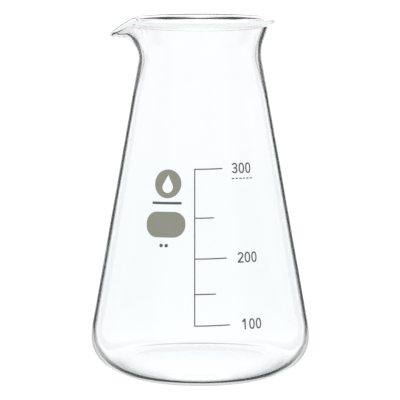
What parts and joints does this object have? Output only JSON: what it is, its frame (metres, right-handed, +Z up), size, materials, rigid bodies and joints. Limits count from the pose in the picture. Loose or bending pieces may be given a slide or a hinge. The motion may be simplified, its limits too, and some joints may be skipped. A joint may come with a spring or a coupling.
{
  "type": "conical glass beaker",
  "caption": "Clear conical laboratory beaker with a flared lip, a pouring spout, a rounded heel and a fired enamel volume scale on its front.",
  "frame": {"origin": "centre of the circle the beaker stands on, at bench height", "axes": "+Z up along the beaker's own axis; the spout points to -X; the volume scale faces -Y"},
  "size_m": [0.083, 0.083, 0.1331],
  "materials": {
    "glass": "clear polished borosilicate glass, fire-polished lip",
    "scale_enamel": "thin fired enamel lines, dark warm grey, matte",
    "patch_enamel": "solid fired enamel, grey with a slight olive cast, finely grained and matte so that a pencil marks it"
  },
  "bodies": {
    "root": {"vessel": "glass", "graduation_ladder": "scale_enamel", "numeral_300": "scale_enamel", "numeral_200": "scale_enamel", "numeral_100": "scale_enamel", "dash_row": "scale_enamel", "plain_disc": "patch_enamel", "plain_bar": "scale_enamel", "writing_patch": "patch_enamel", "dot_pair": "scale_enamel"}
  },
  "joints": []
}
